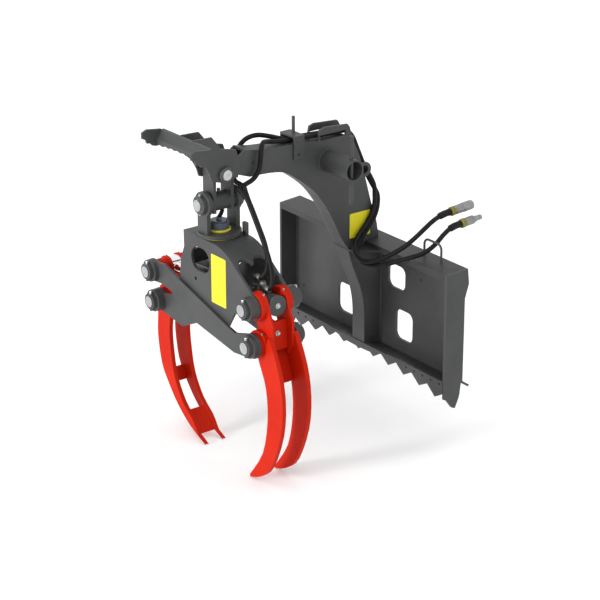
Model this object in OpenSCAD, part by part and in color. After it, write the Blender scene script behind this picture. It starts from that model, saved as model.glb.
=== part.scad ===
// Log grapple on a quick-attach frame: a boom on a plate frame carries a hanger, a rotator
// and a head with two curved claws that one hydraulic cylinder works.
// X runs across the frame, -Y points to the front, Z is up.
// The origin is the middle of the frame's rear face.

/* [Mounting frame] */
// Width over the side plates
frame_w = 1133; // [1050:1:1250]
// Height of the frame's crest above the middle of its face
frame_top = 295; // [280:1:330]
// Depth of the face below its middle
frame_low = 205; // [195:1:225]
// Reach of the flanges in front of the rear face
frame_depth = 102; // [96:1:115]
// Thickness of the face plate
face_t = 12; // [8:1:14]
// Thickness of the side plates
side_t = 12; // [8:1:16]
// Thickness of the bent flanges
flange_t = 10; // [8:1:12]
// Fall of the top flange from the rear crest to its front lip
flange_fall = 8; // [4:1:12]
// Height of the top flange's front lip
lip_h = 26; // [22:1:34]
// Reach of the tongue under the boom's foot
tongue_reach = 193; // [185:1:205]
// Width of the tongue at its front edge
tongue_w = 120; // [100:1:160]
// Width of the tongue where it leaves the flange
tongue_root_w = 270; // [220:1:320]
// Width of the windows
window_w = 112; // [90:1:124]
// Height of the upper windows
window_h = 107; // [85:1:120]
// Height of the lower windows
low_window_h = 137; // [110:1:150]
// Corner radius of the windows
window_r = 32; // [20:1:40]
// Distance between the tooth tips
tooth_pitch = 102; // [90:1:115]
// Depth of the outermost teeth
tooth_depth = 34; // [26:1:40]
// Length of a wedge pin slot
slot_l = 46; // [40:1:60]
// Width of a wedge pin slot
slot_w = 18; // [16:1:22]

/* [Boom] */
// Width over the boom's side plates
boom_w = 80; // [74:1:90]
// Thickness of the boom's plates
boom_t = 10; // [8:1:12]
// Distance of the nose pin in front of the rear face
boom_reach = 829; // [800:1:860]
// Height of the nose pin above the middle of the face
boom_rise = 735; // [715:1:755]
// Outer diameter of the cross tube
tube_d = 92; // [80:1:100]
// Wall of the cross tube
tube_wall = 7; // [5:1:10]
// Reach of the cross tube's mouth from the middle
tube_reach = 215; // [180:1:250]
// Diameter of the rod through the cross tube
rod_d = 17; // [12:1:20]
// Thickness of the nose plates
nose_t = 8; // [6:1:12]
// Width of the log stop
stop_w = 330; // [300:1:380]
// Thickness of the log stop's plates
stop_t = 12; // [10:1:14]

/* [Hanger] */
// Diameter of the nose pin
nose_pin_d = 42; // [36:1:46]
// Diameter of the cross pin
cross_pin_d = 48; // [40:1:50]
// Height of the cross pin above the middle of the face
cross_z = 612; // [600:1:618]
// Height of the swivel's underside above the middle of the face
swivel_z = 476; // [470:1:482]
// Diameter of the swivel's base
swivel_d = 184; // [176:1:190]
// Diameter of the rotator's cap
cap_d = 84; // [76:1:94]

/* [Head and claws] */
// Distance between the head's plates, middle to middle
head_gap = 162; // [160:1:166]
// Thickness of the head's plates and links
head_t = 12; // [10:1:13]
// Diameter of the claw pins
claw_pin_d = 48; // [42:1:50]
// Thickness of the claws' blades
blade_t = 18; // [14:1:18]
// Thickness of the claws' brackets
bracket_t = 10; // [8:1:10]
// Bore of the links at the open pivot
open_bore_d = 74; // [72:1:76]

/* [Cylinder] */
// Outer diameter of the barrel
barrel_d = 80; // [76:1:82]
// Bore of the barrel
bore_d = 66; // [60:1:68]
// Diameter of the piston rod
piston_rod_d = 40; // [32:1:44]
// Length of the barrel in front of its pin
barrel_l = 560; // [540:1:580]

/* [Hoses] */
// Diameter of the supply hoses
supply_d = 20; // [18:1:22]
// Diameter of the cylinder's hoses
hose_d = 14; // [12:1:16]
// Diameter of the couplers
coupler_d = 33; // [30:1:36]
// Length of the couplers
coupler_l = 118; // [100:1:130]

/* [Hidden] */
$fn = 48;

overrun = 1;
pin_fit = 0.05;
seat = 0.3;
steel = "#3f4042";
silver = "silver";
claw_red = "#e8321c";
rubber = "#1b1b1c";

// Places of the head's pivots, measured across and up from the middle of the face
rod_show = 119.7;
cylinder_fall = 48;
cylinder_l = barrel_l + rod_show;
claw_right = [338, 280];
link_right = claw_right + [18, -154];
link_left = claw_right - [sqrt(pow(cylinder_l, 2) - pow(cylinder_fall, 2)), cylinder_fall];
claw_left = link_left + [22, -127];

// Distances of the claws' layers from the hanger's middle plane
left_bracket_in = 25;
right_bracket_in = 43;
left_blade_in = left_bracket_in + bracket_t;
right_blade_in = right_bracket_in + bracket_t + 3 * seat;
head_in = head_gap / 2 - head_t / 2;
head_out = head_gap / 2 + head_t / 2;
link_in = head_out + 2;
link_out = link_in + head_t;
boss_out = link_out + 19;
collar_t = 18;
pin_half = boss_out + collar_t + 4;
boss_r = 47;
collar_r = 34;
bolt_d = 12;

inner_w = frame_w - 2 * side_t;
bar_t = 12;
boom_in = boom_w / 2 - boom_t;
nose_arc_r = 60;
nose_arc_from = 38;
nose_arc_to = -14;

// A table of shares, in the size w across and the size h up
function at(shares, w, h) = [for (p = shares) [p.x * w, p.y * h]];
function reversed(v) = [for (i = [len(v) - 1 : -1 : 0]) v[i]];
// A smooth open curve through the points p, with n steps between two of them
function curve(p, n = 3) = concat([for (i = [0 : len(p) - 2], s = [0 : n - 1])
    blend_point(p[max(i - 1, 0)], p[i], p[i + 1], p[min(i + 2, len(p) - 1)], s / n)], [p[len(p) - 1]]);
function blend_point(a, b, c, d, t) =
    (2 * b + (c - a) * t + (2 * a - 5 * b + 4 * c - d) * t * t + (3 * b - a - 3 * c + d) * t * t * t) / 2;
// The points of p moved sideways by d
function beside(p, d) = [for (i = [0 : len(p) - 1])
    let(v = p[min(i + 1, len(p) - 1)] - p[max(i - 1, 0)]) p[i] + [v.y, -v.x] * d / norm(v)];
// An arc of radius r about c
function arc(c, r, from, to, n = 8) =
    [for (i = [0 : n]) let(a = from + (to - from) * i / n) c + r * [cos(a), sin(a)]];

module across(x, t) {
    translate([x, 0, 0]) rotate([90, 0, 90]) linear_extrude(t) children();
}
module both_ways() {
    children();
    mirror([1, 0, 0]) children();
}
// A layer of the hanging group, from the distance a to b in front of and behind its middle plane
module layer(a, b, sides = [-1, 1]) {
    for (s = sides)
        translate([0, -boom_reach + (s > 0 ? b : -a), 0]) rotate([90, 0, 0]) linear_extrude(b - a) children();
}
module disc(c, r) {
    translate(c) circle(r);
}
module strip(p, d) {
    polygon(concat(p, reversed(beside(p, d))));
}
module round_window(w, h, r) {
    square([w - 2 * r, h], center = true);
    square([w, h - 2 * r], center = true);
    for (x = [-1, 1], z = [-1, 1]) translate([x * (w / 2 - r), z * (h / 2 - r)]) circle(r);
}

// The top flange's upper and lower faces at the distance y from the rear face
function flange_top(y) = frame_top + flange_fall * (y - rear_crest) / (frame_depth + rear_crest);
function flange_under(y) = flange_top(y) - flange_t;
rear_crest = 12;
horn_reach = 20;
horn_fall = 67;
horn_z = frame_top - horn_fall;
lip_z = flange_top(-frame_depth) - lip_h;
lip_y = flange_t - frame_depth;
tongue_t = 8;
face_flange_z = -frame_low - flange_t;
foot_rise = 20;
horn_step = 63;

module mount_plate() {
    upper_z = 131;
    upper_x = 144;
    lower_z = -78;
    lower_x = 198;
    color(steel) difference() {
        across(-inner_w / 2, inner_w) polygon([[0, -frame_low], [-face_t, -frame_low],
            [-face_t, flange_under(-face_t)], [0, flange_under(0)]]);
        for (s = [-1, 1], w = [[upper_x, upper_z, window_h], [lower_x, lower_z, low_window_h]])
            translate([s * w.x, overrun, w.y]) rotate([90, 0, 0])
                linear_extrude(face_t + 2 * overrun) round_window(window_w, w.z, window_r);
    }
}

module top_flange() {
    lip_gap = 12;
    lip_root = 4;
    color(steel) {
        across(-inner_w / 2, inner_w) polygon([[rear_crest, frame_top],
            [-frame_depth, flange_top(-frame_depth)], [-frame_depth, lip_z], [lip_y, lip_z],
            [lip_y, flange_under(lip_y)], [0, flange_under(0)], [lip_root, flange_under(0)],
            [lip_gap, horn_z], [horn_reach, horn_z]]);
        translate([0, 0, lip_z]) linear_extrude(tongue_t)
            polygon([[-tongue_root_w / 2, -frame_depth], [tongue_root_w / 2, -frame_depth],
                [tongue_w / 2, -tongue_reach], [-tongue_w / 2, -tongue_reach]]);
    }
}

// Share of the frame's depth forwards and of its top height upwards
side_foot_share = [[-0.98, -0.9], [-0.86, -0.91], [-0.53, -1.06], [-0.37, -1.08], [-0.22, -0.97],
    [-0.15, -0.9], [-0.08, -0.72]];
module side_plate() {
    color(steel) across(inner_w / 2, side_t) polygon(concat(
        [[-frame_depth, flange_top(-frame_depth)]], at(side_foot_share, frame_depth, frame_top),
        [[0, face_flange_z], [0, horn_z - horn_step], [horn_reach, horn_z], [rear_crest, frame_top]]));
}
module side_plate_right() side_plate();
module side_plate_left() mirror([1, 0, 0]) side_plate();

bar_y = frame_depth - bar_t;
module lower_flange() {
    color(steel) across(-inner_w / 2, inner_w) polygon([[0, -frame_low], [-face_t, -frame_low],
        [-bar_y, -frame_low + foot_rise], [-bar_y, face_flange_z + foot_rise],
        [-face_t, face_flange_z], [0, face_flange_z]]);
}

// Depth of the toothed bar's lower edge and of its tips at x, which follow one arch
tip_rise = 50;
tip_drop = 32;
function tip_z(x) = face_flange_z + foot_rise - tip_drop - tip_rise * pow(2 * x / inner_w, 2);
function root_z(x) = min(tip_z(x) + tooth_depth, face_flange_z + foot_rise);
module tooth_bar() {
    tips = floor(inner_w / 2 / tooth_pitch);
    hole = tooth_pitch / 8;
    hole_step = tooth_pitch * 0.525;
    top_z = -frame_low + foot_rise;
    lip_t = 6;
    lip_half = 200;
    lip_drop = 28;
    lip_share = [[-1, 0], [-0.55, -0.8], [-0.2, -1], [0.2, -1], [0.55, -0.8], [1, 0]];
    color(steel) {
        difference() {
            translate([0, -bar_y, 0]) rotate([90, 0, 0]) linear_extrude(bar_t) polygon(concat(
                [[-inner_w / 2, top_z], [-inner_w / 2, root_z(inner_w / 2)]],
                [for (k = [-2 * tips : 2 * tips]) let(x = k * tooth_pitch / 2)
                    [x, k % 2 == 0 ? tip_z(x) : root_z(x)]],
                [[inner_w / 2, root_z(inner_w / 2)], [inner_w / 2, top_z]]));
            for (s = [-1, 1], k = [6 : 10])
                translate([s * k * hole_step, overrun - bar_y, top_z - hole]) rotate([90, 0, 0])
                    linear_extrude(bar_t + 2 * overrun)
                        polygon([[-hole / 2, 0], [hole / 2, 0], [0, -hole]]);
        }
        translate([0, -frame_depth, top_z]) rotate([90, 0, 0]) linear_extrude(lip_t)
            polygon(curve(at(lip_share, lip_half, lip_drop)));
    }
}

module wedge_pin_flange() {
    reach = 49;
    fall = 34;
    slot_x = frame_w * 0.41;
    slope = atan(fall / reach);
    color(steel) difference() {
        across(-inner_w / 2, inner_w) polygon([[0, -frame_low], [reach, -frame_low - fall],
            [reach - flange_t * sin(slope), -frame_low - fall - flange_t * cos(slope)], [0, face_flange_z]]);
        for (s = [-1, 1]) translate([s * slot_x, reach / 2, -frame_low - fall / 2]) rotate([-slope, 0, 0])
            cube([slot_l, slot_w, 4 * flange_t], center = true);
    }
}

// The post's front edge, as shares of the tongue's reach forwards and of the frame's top height upwards
post_share = [[-0.91, 0.68], [-0.78, 0.47], [-0.66, 0.27], [-0.58, 0.07], [-0.54, -0.14],
    [-0.53, -0.4]];
post_curve = curve(concat([[-tongue_reach, lip_z]], at(post_share, tongue_reach, frame_top)));
post_foot = [-frame_depth, -frame_low + foot_rise];
module post_plates() {
    hole_d = 8;
    hole_y = -52;
    hole_z = -167;
    color(steel) {
        difference() {
            both_ways() across(boom_in, boom_t) polygon(concat(post_curve, [post_foot,
                [-bar_y, post_foot.y], [-face_t, -frame_low], [-face_t, flange_under(-face_t)],
                [lip_y, flange_under(lip_y)], [lip_y, lip_z]]));
            translate([0, hole_y, hole_z]) rotate([0, 90, 0])
                cylinder(d = hole_d, h = 2 * boom_w, center = true);
        }
        across(-boom_in, 2 * boom_in) intersection() {
            strip(concat(post_curve, [post_foot]), -boom_t);
            translate([-tongue_reach, post_foot.y]) square([tongue_reach, lip_z - post_foot.y]);
        }
    }
}

// The boom's outline, as shares of its reach forwards and of its rise upwards
boom_top_share = [[-0.876, 1.107], [-0.8, 1.091], [-0.726, 1.082], [-0.605, 1.075], [-0.519, 1.068],
    [-0.43, 1.056], [-0.26, 1.05], [-0.214, 1.029]];
boom_under_share = [[-0.848, 0.947], [-0.727, 0.941], [-0.636, 0.921], [-0.562, 0.868], [-0.476, 0.792],
    [-0.412, 0.71], [-0.35, 0.601], [-0.28, 0.442]];
boom_rear_share = [[-0.214, 1.029], [-0.192, 0.977], [-0.158, 0.886], [-0.124, 0.759], [-0.083, 0.597],
    [-0.055, 0.512]];
lug_share = [[-0.43, 1.056], [-0.42, 1.118], [-0.389, 1.129], [-0.244, 1.118], [-0.231, 1.098],
    [-0.214, 1.029]];
nose_pin_at = [-boom_reach, boom_rise];
top_curve = curve(at(boom_top_share, boom_reach, boom_rise));
under_curve = curve(concat(at(boom_under_share, boom_reach, boom_rise),
    [[-tongue_reach - seat, lip_z + tongue_t]]));
rear_foot_y = -30;
rear_curve = curve(concat(at(boom_rear_share, boom_reach, boom_rise),
    [[rear_foot_y, flange_top(rear_foot_y)]]));
tube_at = [-0.368 * boom_reach, 0.932 * boom_rise];

module boom_plate() {
    slot_h = 24;
    slot_from = -0.42 * boom_reach;
    slot_to = -0.256 * boom_reach;
    slot_z = 1.071 * boom_rise;
    color(steel) across(boom_in, boom_t) difference() {
        union() {
            polygon(concat(arc(nose_pin_at, nose_arc_r, nose_arc_from, nose_arc_to), under_curve,
                [[-frame_depth, lip_z + tongue_t], [-frame_depth, flange_top(-frame_depth)]],
                reversed(rear_curve), reversed(top_curve)));
            polygon(at(lug_share, boom_reach, boom_rise));
        }
        translate([slot_from, slot_z - slot_h / 2]) square([slot_to - slot_from, slot_h]);
        translate(tube_at) circle(d = tube_d + 2 * pin_fit);
    }
}
module boom_plate_right() boom_plate();
module boom_plate_left() mirror([1, 0, 0]) boom_plate();

module boom_top_plate() {
    color(steel) across(-boom_in, 2 * boom_in) strip(top_curve, boom_t);
}
module boom_bottom_plate() {
    color(steel) across(-boom_in, 2 * boom_in) strip(under_curve, -boom_t);
}
module boom_rear_plate() {
    color(steel) across(-boom_in, 2 * boom_in) difference() {
        strip(rear_curve, boom_t);
        strip(top_curve, boom_t);
        translate([-frame_depth, -frame_top]) square([frame_depth, frame_top + flange_top(rear_foot_y)]);
    }
}

rod_x = tube_reach - 22;
module cross_tube() {
    tube_l = tube_reach + boom_w / 2;
    color(steel) difference() {
        translate([-boom_w / 2, tube_at.x, tube_at.y]) rotate([0, 90, 0]) difference() {
            cylinder(d = tube_d, h = tube_l);
            translate([0, 0, -overrun]) cylinder(d = tube_d - 2 * tube_wall, h = tube_l + 2 * overrun);
        }
        translate([rod_x, tube_at.x, tube_at.y - tube_d])
            cylinder(d = rod_d + 2 * pin_fit, h = 2 * tube_d);
    }
}
module tube_rod() {
    rod_low = 147;
    rod_high = 144;
    color(steel) translate([rod_x, tube_at.x, tube_at.y - rod_low])
        cylinder(d = rod_d, h = rod_low + rod_high);
}

strap_y = -0.586 * boom_reach;
strap_z = 1.108 * boom_rise;
module hose_strap() {
    depth = 52;
    leg_l = 89;
    bolt_drop = 72;
    post_d = 14;
    post_h = 71;
    post_y = 32;
    color(steel) {
        difference() {
            translate([-boom_w / 2 - nose_t, strap_y, strap_z - leg_l])
                cube([boom_w + 2 * nose_t, depth, leg_l + nose_t]);
            translate([-boom_w / 2, strap_y - overrun, strap_z - leg_l - overrun])
                cube([boom_w, depth + 2 * overrun, leg_l + overrun]);
            translate([0, strap_y + depth / 2, strap_z - bolt_drop]) rotate([0, 90, 0])
                cylinder(d = bolt_d, h = 2 * boom_w, center = true);
        }
        translate([0, strap_y + post_y, strap_z + nose_t]) cylinder(d = post_d, h = post_h);
    }
}

module hose_guide() {
    guide_y = -0.18 * boom_reach;
    guide_z = 0.782 * boom_rise;
    guide_l = 52;
    guide_h = 66;
    guide_r = 18;
    color(steel) across(boom_w / 2, nose_t) difference() {
        union() {
            translate([guide_y, guide_z]) square([guide_l - guide_r, guide_h]);
            translate([guide_y + guide_l - guide_r, guide_z + guide_h / 2]) circle(guide_h / 2);
        }
        translate([guide_y + guide_l - guide_r, guide_z + guide_h / 2]) circle(guide_r);
    }
}

module hose_hook() {
    hook_d = 10;
    hook_w = 107;
    hook_side = 119.5;
    hook_to = inner_w / 2 - hook_side;
    hook_from = hook_to - hook_w;
    hook_z = 365;
    hook_r = 25;
    hook_y = -20;
    color(steel) difference() {
        translate([0, hook_y, 0]) {
            for (x = [hook_from, hook_to]) translate([x, 0, frame_top - flange_t])
                cylinder(d = hook_d, h = hook_z - hook_r - frame_top + flange_t);
            translate([hook_from + hook_r, 0, hook_z]) rotate([0, 90, 0])
                cylinder(d = hook_d, h = hook_to - hook_from - 2 * hook_r);
            translate([hook_from + hook_r, 0, hook_z - hook_r]) rotate([90, 0, 0])
                rotate_extrude(angle = 90, start = 90) translate([hook_r, 0]) circle(d = hook_d);
            translate([hook_to - hook_r, 0, hook_z - hook_r]) rotate([90, 0, 0])
                rotate_extrude(angle = 90, start = 0) translate([hook_r, 0]) circle(d = hook_d);
        }
        across(-inner_w / 2, inner_w) polygon([[rear_crest, frame_top],
            [-frame_depth, flange_top(-frame_depth)], [-frame_depth, 0], [rear_crest, 0]]);
    }
}

// The nose plates' outline and the log stop's, as shares of the boom's reach and rise
nose_share = [[-1.182, 1.228], [-1.074, 1.224], [-1.019, 1.147], [-0.935, 1.126], [-0.918, 1.07],
    [-0.915, 1.01], [-0.925, 0.966], [-0.978, 0.958], [-1.031, 0.959], [-1.078, 0.976], [-1.089, 1.018],
    [-1.117, 1.075], [-1.204, 1.16]];
stop_front = 1.218 * boom_reach;
stop_low = 1.135 * boom_rise;
stop_step = 1.176 * boom_rise;
stop_top = 1.224 * boom_rise;
stop_lean = 25;
module nose_plate() {
    color(steel) across(boom_w / 2, nose_t) difference() {
        polygon(at(nose_share, boom_reach, boom_rise));
        translate(nose_pin_at) circle(d = nose_pin_d + 2 * pin_fit);
        polygon([[-stop_front, 0], [-stop_front, stop_step], [stop_lean - stop_front, stop_top],
            [stop_lean - stop_front - stop_w, stop_top], [-stop_front - stop_w, 0]]);
        polygon([[-stop_front - stop_t, 0], [-stop_front, stop_low - stop_w],
            [stop_t - stop_front, stop_low - stop_w], [stop_t - stop_front, stop_step],
            [stop_t + stop_lean - stop_front, stop_top],
            [stop_lean - stop_front, stop_top + stop_t], [-stop_front - stop_t, stop_step]]);
    }
}
module nose_plate_right() nose_plate();
module nose_plate_left() mirror([1, 0, 0]) nose_plate();

fork_end_share = [[-1.213, 1.133], [-1.24, 1.14], [-1.254, 1.156], [-1.271, 1.158], [-1.276, 1.178],
    [-1.298, 1.19], [-1.298, 1.222], [-1.27, 1.236], [-1.188, 1.224], [-1.206, 1.176]];
module fork_bar() {
    arch_rise = 11;
    teeth = 8;
    tooth = stop_w / teeth;
    color(steel) {
        difference() {
            across(-stop_w / 2, stop_w) polygon([[-stop_front, stop_low], [-stop_front, stop_step],
                [stop_lean - stop_front, stop_top], [stop_t + stop_lean - stop_front, stop_top],
                [stop_t - stop_front, stop_step], [stop_t - stop_front, stop_low]]);
            translate([0, stop_t - stop_front + overrun, stop_low]) rotate([90, 0, 0])
                linear_extrude(stop_t + 2 * overrun) polygon(concat(
                    [[stop_w / 2, -overrun], [-stop_w / 2, -overrun]],
                    [for (k = [0 : 2 * teeth]) let(x = -stop_w / 2 + k * tooth / 2)
                        [x, arch_rise * (1 - pow(2 * x / stop_w, 2)) + (k % 2 == 0 ? 0 : tooth / 8)]]));
        }
        both_ways() across(stop_w / 2, boom_t) polygon(at(fork_end_share, boom_reach, boom_rise));
    }
}

module nose_pin() {
    pin_l = 132;
    nose_collar_r = 30;
    nose_collar_t = 12;
    color(silver) translate([0, -boom_reach, boom_rise]) rotate([0, 90, 0]) {
        cylinder(d = nose_pin_d, h = pin_l, center = true);
        for (s = [-1, 1]) translate([0, 0, s * (boom_w / 2 + nose_t + nose_collar_t / 2)])
            cylinder(r = nose_collar_r, h = nose_collar_t, center = true);
    }
}

hub_half = boom_w / 2 - 2 * seat;
cheek_in = 36;
cheek_out = 50;
yoke_in = 63;
yoke_out = 81;
yoke_w = 80;
cross_hub_r = 38;
module crosshead() {
    nose_hub_r = 37;
    cheek_w = 72;
    cheek_top = 25;
    nipple_d = 14;
    color(steel) difference() {
        union() {
            translate([0, -boom_reach, boom_rise]) rotate([0, 90, 0])
                cylinder(r = nose_hub_r, h = 2 * hub_half, center = true);
            for (s = [-1, 1]) translate([-cheek_w / 2, -boom_reach + (s > 0 ? cheek_in : -cheek_out),
                cross_z - cross_hub_r])
                cube([cheek_w, cheek_out - cheek_in, boom_rise + cheek_top - cross_z + cross_hub_r]);
            translate([0, -boom_reach, cross_z]) rotate([90, 0, 0])
                cylinder(r = cross_hub_r, h = 2 * yoke_in - 2 * seat, center = true);
            translate([0, -boom_reach, cross_z]) cylinder(d = nipple_d, h = cross_hub_r + nipple_d);
        }
        translate([0, -boom_reach, boom_rise]) rotate([0, 90, 0])
            cylinder(d = nose_pin_d + 2 * pin_fit, h = 3 * boom_w, center = true);
        translate([0, -boom_reach, cross_z]) rotate([90, 0, 0])
            cylinder(d = cross_pin_d + 2 * pin_fit, h = 3 * boom_w, center = true);
    }
}

base_t = 14;
module swivel_yoke() {
    stem_w = 66;
    color(steel) {
        layer(yoke_in, yoke_out) difference() {
            union() {
                disc([0, cross_z], yoke_w / 2);
                translate([-stem_w / 2, swivel_z + base_t]) square([stem_w, cross_z - swivel_z - base_t]);
            }
            disc([0, cross_z], cross_pin_d / 2 + pin_fit);
        }
        translate([0, -boom_reach, swivel_z]) cylinder(d = swivel_d, h = base_t);
        translate([0, -boom_reach, swivel_z - king_l]) cylinder(d = king_d, h = king_l);
    }
}
king_d = 60;
king_l = 40;

module cross_pin() {
    pin_l = 2 * (yoke_out + collar_t + 8);
    color(silver) translate([0, -boom_reach, cross_z]) rotate([90, 0, 0]) {
        cylinder(d = cross_pin_d, h = pin_l, center = true);
        for (s = [-1, 1]) translate([0, 0, s * (yoke_out + collar_t / 2)])
            cylinder(r = cross_pin_d * 0.77, h = collar_t, center = true);
    }
}

module rotator_cap() {
    ring_h = 6;
    cap_h = 36;
    crown_d = cap_d * 0.8;
    color("#5b6270") translate([0, -boom_reach, swivel_z + base_t]) {
        cylinder(d = cap_d + ring_h, h = ring_h);
        cylinder(d = cap_d, h = cap_h);
        cylinder(d = crown_d, h = cap_h + ring_h);
    }
}

ring_t = 5;
head_top = swivel_z - seat - ring_t;
top_t = 12;
module king_nut() {
    nut_d = 88;
    color(steel) translate([0, -boom_reach, swivel_z - king_l]) difference() {
        cylinder(d = nut_d, h = head_top - top_t - seat - swivel_z + king_l);
        translate([0, 0, -overrun]) cylinder(d = king_d + 2 * pin_fit, h = king_l);
    }
}
module seal_ring() {
    ring_out = swivel_d * 0.9;
    color("gold") translate([0, -boom_reach, head_top]) difference() {
        cylinder(d = ring_out, h = ring_t);
        translate([0, 0, -overrun]) cylinder(d = king_d + 4 * seat, h = ring_t + 2 * overrun);
    }
}

// The head's outer slope and rolled shoulder, as shares of the claw pins' height and distance
head_half = claw_right.x;
shoulder_share = [[0.28, 1], [0.37, 0.992], [0.47, 0.97], [0.58, 0.93], [0.69, 0.87]];
shoulder = concat([[0.4 * claw_left.x, head_top]], curve(at(shoulder_share, head_half, head_top)));
ear_r = 48;
ear_inset = 1;
head_notch_share = [[0.61, 0.352], [0.53, 0.36], [0.47, 0.72], [0.393, 0.85]];
head_low_share = [[0.94, 0.478], [0.66, 0.465], [0.515, 0.302], [0.2, 0.24]];
head_low_left_share = [[0.074, 0.206], [0.468, 0.079]];
module head_outline() {
    rim = ear_r - ear_inset;
    ear_edge = claw_right + rim * [cos(33), sin(33)];
    notch_edge = claw_left + rim * [cos(48), sin(48)];
    low_edge = claw_left + rim * [cos(-78), sin(-78)];
    polygon(concat(shoulder, [ear_edge, claw_right], at(head_low_share, head_half, head_top),
        at(head_low_left_share, claw_left.x, head_top), [low_edge, claw_left, notch_edge],
        at(head_notch_share, claw_left.x, head_top)));
    disc(claw_right, ear_r);
    disc(claw_left, ear_r);
}
module head_plate(side) {
    oval = [-0.03 * head_half, 0.795 * head_top];
    oval_w = 130;
    oval_h = 104;
    small_hole = [-0.136 * head_half, 0.601 * head_top];
    small_hole_d = 16;
    pin_r = claw_pin_d / 2 + pin_fit;
    color(steel) difference() {
        union() {
            layer(head_in, head_out, [side]) difference() {
                head_outline();
                translate(oval) square([oval_w - oval_h, oval_h], center = true);
                for (s = [-1, 1]) disc(oval + [s * (oval_w - oval_h) / 2, 0], oval_h / 2);
                disc(small_hole, small_hole_d / 2);
            }
            layer(head_out, boss_out, [side]) {
                disc(claw_left, boss_r);
                disc(claw_right, boss_r);
            }
        }
        layer(head_in - overrun, boss_out + overrun, [side]) {
            disc(claw_left, pin_r);
            disc(claw_right, pin_r);
        }
    }
}
module head_front_plate() head_plate(-1);
module head_rear_plate() head_plate(1);

module head_cover() {
    scallop_r = 34;
    scallop_x = claw_right.x * 0.7;
    color(steel) difference() {
        layer(-head_in, head_in, [1]) strip(shoulder, top_t);
        translate([0, -boom_reach, head_top - 2 * top_t]) cylinder(d = king_d + 4 * seat, h = 3 * top_t);
        for (s = [-1, 1]) translate([scallop_x, -boom_reach + s * head_in / 2, head_top / 2])
            cylinder(r = scallop_r, h = head_top);
    }
}

module head_web() {
    web_h = 64;
    web_lean = 6;
    web_x = 0.457 * claw_left.x;
    web_low = 0.66 * head_top;
    color(steel) layer(-head_in, head_in, [1]) translate([web_x, web_low])
        polygon([[0, 0], [head_t, 0], [head_t + web_lean, web_h], [web_lean, web_h]]);
}

module claw_pin(p) {
    color(silver) translate([p.x, -boom_reach, p.y]) rotate([90, 0, 0])
        cylinder(d = claw_pin_d, h = 2 * pin_half, center = true);
}
module claw_pin_left() claw_pin(claw_left);
module claw_pin_right() claw_pin(claw_right);
module link_pin_left() claw_pin(link_left);
module link_pin_right() claw_pin(link_right);

// A ring of radius r round the pin at p, from the distance a to b
module ring_layer(p, r, a, b, sides = [-1, 1]) {
    layer(a, b, sides) difference() {
        disc(p, r);
        disc(p, claw_pin_d / 2 + pin_fit);
    }
}
module collar(p, from) {
    color(steel) ring_layer(p, collar_r, from, from + collar_t);
    color(silver) for (s = [-1, 1])
        translate([p.x, -boom_reach + s * (from + collar_t / 2), p.y + collar_r - seat])
            cylinder(d = bolt_d, h = 0.7 * bolt_d);
}
module head_collars() {
    collar(claw_left, boss_out);
    collar(claw_right, boss_out);
}
module left_collars() collar(link_left, boss_out);
module right_collars() {
    collar(link_right, boss_out);
    color(steel) ring_layer(link_right, boss_r, link_out + seat, boss_out);
}

// The claws' edges, as shares of the claw's length along x and z from its lower pivot
left_len = 583;
left_convex_share = [[-0.11, -0.03], [-0.113, -0.175], [-0.12, -0.33], [-0.079, -0.54], [0, -0.667],
    [0.118, -0.803], [0.278, -0.923], [0.458, -1]];
left_concave_share = [[0.374, -0.961], [0.304, -0.864], [0.187, -0.768], [0.089, -0.612],
    [0.046, -0.427], [0.033, -0.218], [0.09, 0.02]];
module left_blade_shape() {
    polygon([for (p = concat(curve(left_convex_share), curve(left_concave_share)))
        claw_left + p * left_len]);
    disc(claw_left, boss_r + 11);
}
module left_blades() {
    outer = head_in - seat;
    color(claw_red) layer(left_blade_in, left_blade_in + blade_t) difference() {
        left_blade_shape();
        disc(claw_left, claw_pin_d / 2 + pin_fit);
    }
    color(claw_red) ring_layer(claw_left, ear_r - 2, left_blade_in + blade_t, outer);
}
module left_brackets() {
    ear = ear_r - 2;
    side = [ear, 0];
    color(claw_red) {
        layer(left_bracket_in, left_blade_in) difference() {
            union() {
                disc(link_left, ear);
                disc(claw_left, ear);
                polygon([link_left - side, claw_left - side, claw_left + [-ear, -2 * ear],
                    claw_left + [ear / 2, -2 * ear], claw_left + side, link_left + side]);
            }
            disc(link_left, claw_pin_d / 2 + pin_fit);
            disc(claw_left, claw_pin_d / 2 + pin_fit);
        }
        ring_layer(link_left, ear - 6, left_blade_in, link_in - 2 * seat);
    }
}
left_upper_share = [[-0.036, -0.582], [-0.016, -0.577], [0.026, -0.672], [0.006, -0.677]];
left_lower_share = [[0.228, -0.815], [0.298, -0.868], [0.368, -0.957], [0.35, -0.966], [0.28, -0.884],
    [0.212, -0.83]];
module left_braces() {
    color(claw_red) layer(-left_blade_in, left_blade_in, [1])
        for (shares = [left_upper_share, left_lower_share])
            polygon([for (p = shares) claw_left + p * left_len]);
}

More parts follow.
